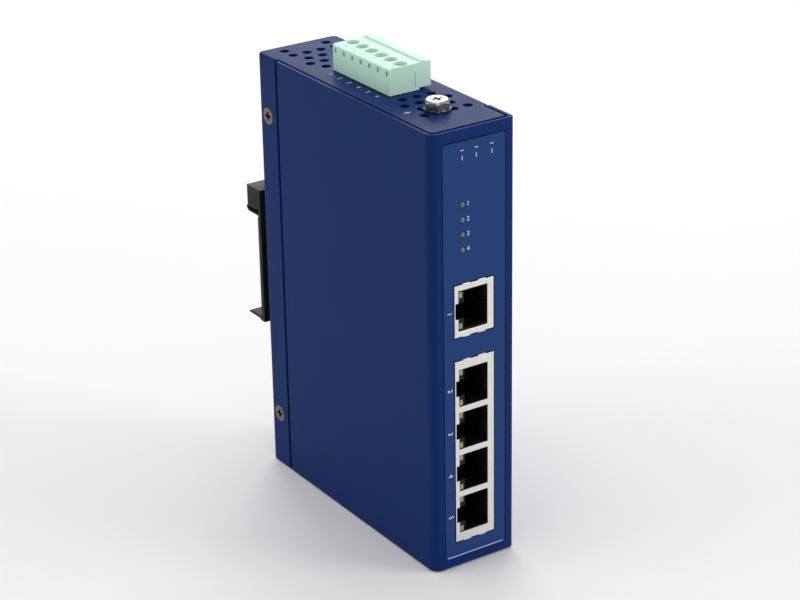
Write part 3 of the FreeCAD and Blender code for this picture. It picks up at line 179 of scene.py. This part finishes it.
def make_finishes():
    return {
        "painted_case": finish("painted steel", srgb(14, 42, 96), srgb(17, 47, 104), 60,
                               0.42, 0.5, 0.25, 900, level=0.05),
        "label_film": finish("label film", srgb(26, 58, 112), srgb(30, 62, 117), 40,
                             0.45, 0.5, 0.15, 1500, level=0.1),
        "dark_nickel": finish("dark nickel", (0.2, 0.185, 0.17, 1), (0.1, 0.09, 0.08, 1), 900,
                              0.2, 0.35, 0.3, 900, metallic=1),
        "nickel": finish("nickel", (0.46, 0.42, 0.37, 1), (0.34, 0.31, 0.27, 1), 500,
                         0.18, 0.28, 0.2, 900, metallic=1),
        "zinc_steel": finish("zinc plate", (0.62, 0.63, 0.65, 1), (0.5, 0.52, 0.55, 1), 300,
                             0.25, 0.4, 0.2, 800, metallic=1),
        "black_steel": finish("black spring steel", (0.03, 0.03, 0.032, 1), (0.05, 0.05, 0.052, 1),
                              300, 0.35, 0.5, 0.2, 800, metallic=1),
        "clip_plastic": finish("moulded black", srgb(20, 21, 21), srgb(26, 27, 27), 120,
                               0.45, 0.6, 0.3, 1500, level=0.2),
        "circuit_board": finish("solder mask", srgb(18, 84, 48), srgb(12, 66, 38), 350,
                                0.3, 0.45, 0.2, 700),
        "insulating_film": finish("insulating film", srgb(206, 200, 182), srgb(190, 184, 168), 80,
                                  0.35, 0.5, 0.1, 900),
        "tin_shield": finish("tinned brass", (0.78, 0.76, 0.72, 1), (0.68, 0.66, 0.62, 1), 200,
                             0.3, 0.42, 0.15, 900, metallic=1),
        "black_plastic": finish("black nylon", srgb(9, 9, 10), srgb(13, 13, 14), 200,
                                0.5, 0.65, 0.2, 1500, level=0.2),
        "contact_gold": finish("gold plate", (0.2, 0.13, 0.055, 1), (0.15, 0.09, 0.04, 1), 400,
                               0.3, 0.4, metallic=1),
        "contact_tin": finish("tin plate", (0.75, 0.75, 0.73, 1), (0.65, 0.65, 0.63, 1), 400,
                              0.3, 0.45, metallic=1),
        "lamp_green": finish("green lens", srgb(128, 158, 122), srgb(172, 200, 160), 900,
                             0.2, 0.3, Transmission_Weight=0.25),
        "lamp_yellow": finish("yellow lens", srgb(138, 150, 112), srgb(182, 190, 150), 900,
                              0.2, 0.3, Transmission_Weight=0.25),
        "lamp_grey": finish("clear lens", srgb(112, 130, 132), srgb(94, 112, 116), 500,
                            0.2, 0.3, Transmission_Weight=0.25),
        "green_plastic": finish("green polyamide", srgb(196, 236, 214), srgb(204, 242, 222), 90,
                                0.42, 0.55, 0.2, 1200, level=0.3, Subsurface_Weight=0.1,
                                Subsurface_Scale=0.001),
        "chip_black": finish("moulding compound", srgb(34, 34, 36), srgb(44, 44, 47), 400,
                             0.5, 0.65, 0.3, 2500),
        "ferrite": finish("ferrite", srgb(58, 58, 60), srgb(48, 48, 50), 500, 0.5, 0.65, 0.3, 1500),
        "capacitor_can": finish("aluminium can", (0.7, 0.71, 0.73, 1), (0.6, 0.61, 0.63, 1), 300,
                                0.25, 0.35, metallic=1),
        "relay_white": finish("relay case", srgb(226, 226, 220), srgb(216, 216, 210), 150,
                              0.4, 0.5, 0.1, 900),
        "fuse_ceramic": finish("fuse body", srgb(210, 205, 188), srgb(196, 190, 172), 300,
                               0.4, 0.55, 0.1, 900),
        "chip_ceramic": finish("resistor body", srgb(26, 26, 28), srgb(36, 36, 38), 400,
                               0.35, 0.5, 0.1, 900),
        "sink_black": finish("black anodised", srgb(24, 25, 27), srgb(32, 33, 35), 250,
                             0.45, 0.55, 0.2, 900),
        "cage_nickel": finish("nickel cage", (0.66, 0.62, 0.56, 1), (0.56, 0.53, 0.48, 1), 350,
                              0.25, 0.38, 0.1, 900, metallic=1),
        # painted shadow: this dark ink stands for the shade along the front overlay's right, top
        # and bottom edges
        "painted_shadow_ink": finish("painted shadow ink", srgb(8, 18, 62), srgb(10, 22, 70), 300,
                             0.5, 0.6, 0.1, 1500, level=0.1),
        "print": finish("white ink", srgb(222, 228, 238), srgb(206, 214, 228), 900,
                        0.55, 0.65, 0.1, 3000),
    }


# ---------------------------------------------------------------- CAD nodes

BEVEL = 0.15  # usual width of a rounded edge, in mm
BEVEL_OF = {
    "front_label": 0.06,
    "front_cover": 0.35,
    "board_screws": 0.08,
    "case_screws": 0.08,
    "ground_washer": 0.05,
}
FINISH_OF = {"ground_washer": "dark_nickel"}


def soften(node, width):
    """Rounds a CAD node's edges with modifiers; its own mesh stays as it is."""
    for face in node.data.polygons:
        face.use_smooth = True
    weld = node.modifiers.new("weld", "WELD")
    weld.merge_threshold = 0.001 * MM
    flat = node.modifiers.new("planar", "DECIMATE")
    flat.decimate_type = "DISSOLVE"
    flat.angle_limit = math.radians(1)
    bevel = node.modifiers.new("edges", "BEVEL")
    bevel.width = width * MM
    bevel.segments = 2
    bevel.limit_method = "ANGLE"
    bevel.angle_limit = math.radians(30)
    bevel.harden_normals = True
    shade = node.modifiers.new("shade", "WEIGHTED_NORMAL")
    shade.keep_sharp = True


def dress_nodes():
    for part in frame["record"]["subparts"]:
        node = frame["nodes"][part["node"]]
        node.data.materials.clear()
        node.data.materials.append(finishes[FINISH_OF.get(part["node"], part["material_slot"])])
        soften(node, BEVEL_OF.get(part["node"], BEVEL))


# ---------------------------------------------------------------- printed marks and painted shadows

INK = 0.02 * MM          # how far a print stands off its face
PORT_PITCH = 13.97 * MM  # spacing of the ganged ports
LAMPS = 4
POLES = 6
FACES = {
    "front": (Vector((1, 0, 0)), Vector((0, 0, 1)), Vector((0, -1, 0))),
    "front, turned": (Vector((0, 0, -1)), Vector((1, 0, 0)), Vector((0, -1, 0))),
    "top, turned": (Vector((0, -1, 0)), Vector((1, 0, 0)), Vector((0, 0, 1))),
}


def on_face(face, place):
    """Turns a flat drawing so that it lies on a face, with its origin at a place."""
    right, up, out = FACES[face]
    turn = Matrix((right, up, out)).transposed().to_4x4()
    return Matrix.Translation(Vector(place) + out * INK) @ turn


def numeral(target, text, height, face, place):
    """Adds a plain number, centred on a place, to a bmesh."""
    curve = bpy.data.curves.new("numeral", "FONT")
    curve.body = text
    curve.size = height / 0.7
    curve.align_x = "CENTER"
    curve.align_y = "CENTER"
    curve.resolution_u = 3
    drawn = bpy.data.objects.new("numeral", curve)
    mesh = bpy.data.meshes.new_from_object(drawn)
    mesh.transform(on_face(face, place))
    target.from_mesh(mesh)
    bpy.data.meshes.remove(mesh)
    bpy.data.objects.remove(drawn)
    bpy.data.curves.remove(curve)


def bar(target, width, height, face, place):
    """Adds a flat rectangle, centred on a place, to a bmesh."""
    corners = [(-width / 2, -height / 2), (width / 2, -height / 2),
               (width / 2, height / 2), (-width / 2, height / 2)]
    turn = on_face(face, place)
    target.faces.new([target.verts.new(turn @ Vector((x, y, 0))) for x, y in corners])


def piece(name, mesh, body, slot):
    """A new object from a bmesh, in one of the finishes, riding on a body."""
    data = bpy.data.meshes.new(name)
    mesh.to_mesh(data)
    mesh.free()
    data.materials.append(finishes[slot])
    made = bpy.data.objects.new(name, data)
    scene.collection.objects.link(made)
    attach(made, body)
    return made


def print_label():
    """Port and lamp numbers, three ticks and a rule on the front overlay."""
    low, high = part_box("front_label")
    face = low.y
    ink = bmesh.new()
    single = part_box("single_jack_shield")
    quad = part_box("quad_jack_shield")
    levels = [(single[0].z + single[1].z) / 2]
    levels += [(quad[0].z + quad[1].z) / 2 + step * PORT_PITCH for step in (1.5, 0.5, -0.5, -1.5)]
    column = single[0].x - 1.8 * MM
    for number, level in enumerate(levels, start=1):
        numeral(ink, str(number), 1.6 * MM, "front, turned", (column, face, level))
    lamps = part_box("status_lights")
    lamp_width = lamps[1].x - lamps[0].x
    spacing = (lamps[1].z - lamps[0].z - lamp_width) / (LAMPS - 1)
    first = lamps[1].z - lamp_width / 2
    for number in range(LAMPS):
        place = (lamps[1].x + 1.1 * MM, face, first - number * spacing)
        numeral(ink, str(number + 1), 1.4 * MM, "front", place)
    for across in (-3.9, 1.0, 6.4):
        bar(ink, 0.22 * MM, 1.4 * MM, "front", (across * MM, face, high.z - 4.9 * MM))
        bar(ink, 1.1 * MM, 0.22 * MM, "front", (across * MM, face, high.z - 2.6 * MM))
    centre = (low.x + high.x) / 2
    bar(ink, high.x - low.x - 1.4 * MM, 0.2 * MM, "front", (centre, face, low.z + 0.6 * MM))
    piece("label_print", ink, "case", "print")


def print_border():
    """Painted shadow: a dark line on the front panel along the overlay's right, top and bottom
    edges, where the overlay's edge casts shade.
    """
    low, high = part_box("front_label")
    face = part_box("front_cover")[0].y
    line = 0.7 * MM
    middle = (low + high) / 2
    ink = bmesh.new()
    # painted shadow: dark bars where the overlay's edge casts shade on the panel
    bar(ink, line, high.z - low.z, "front", (high.x + line / 2, face, middle.z))
    bar(ink, high.x - low.x, line / 2, "front", (middle.x, face, high.z + line / 4))
    bar(ink, high.x - low.x, line / 2, "front", (middle.x, face, low.z - line / 4))
    piece("label_edge_shadow", ink, "case", "painted_shadow_ink")


def print_top():
    """Pole numbers beside the terminal plug and an earth sign by the ground screw."""
    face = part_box("rear_chassis")[1].z
    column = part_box("terminal_plug")[0].x - 2.6 * MM
    ink = bmesh.new()
    for pole in range(1, POLES + 1):
        low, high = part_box(f"clamp_cage_{POLES + 1 - pole}")
        place = (column, (low.y + high.y) / 2, face)
        numeral(ink, str(pole), 1.5 * MM, "top, turned", place)
    screw_low, screw_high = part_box("ground_screw")
    earth = Vector((screw_low.x - 4.4 * MM, screw_high.y - 0.4 * MM, face))
    bar(ink, 0.3 * MM, 0.9 * MM, "top, turned", earth + Vector((0.75, 0, 0)) * MM)
    for step, width in enumerate((1.7, 1.1, 0.5)):
        place = earth + Vector((0.25 - 0.5 * step, 0, 0)) * MM
        bar(ink, width * MM, 0.25 * MM, "top, turned", place)
    piece("top_print", ink, "case", "print")


def print_plug_gap():
    """Painted shadow: a dark line on the top plate along the foot of the terminal plug, standing
    for the shaded gap there.
    """
    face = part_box("rear_chassis")[1].z
    low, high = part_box("terminal_plug")
    middle = (low + high) / 2
    line = 0.9 * MM
    ink = bmesh.new()
    bar(ink, high.y - low.y, line, "top, turned", (low.x - line / 2, middle.y, face))
    # painted shadow: a black strip where the gap at the plug's foot lies in shade
    piece("plug_foot_shadow", ink, "case", "black_plastic")


def emboss_plug():
    """A small raised arrowhead beside each wire entry, pointing away from it."""
    plug_low, plug_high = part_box("terminal_plug")
    top = plug_high.z - 0.5 * MM
    marks = bmesh.new()
    for pole in range(1, POLES + 1):
        cage_low, cage_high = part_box(f"clamp_cage_{pole}")
        across = (cage_low.y + cage_high.y) / 2 - 1.3 * MM
        left = plug_low.x + 1.3 * MM
        right, half = left + 1.1 * MM, 0.65 * MM
        rim = [(left, across), (right, across - half), (right, across + half)]
        base = [marks.verts.new((x, y, top)) for x, y in rim]
        peak = marks.verts.new((left + 0.8 * MM, across, top + 0.3 * MM))
        for step in range(3):
            marks.faces.new((base[step - 1], peak, base[step]))
        marks.faces.new(base)
    bmesh.ops.recalc_face_normals(marks, faces=marks.faces)
    piece("plug_arrows", marks, "plug", "green_plastic")


make_camera()
make_studio()
finishes = make_finishes()
dress_nodes()
print_label()
print_border()
print_top()
print_plug_gap()
emboss_plug()
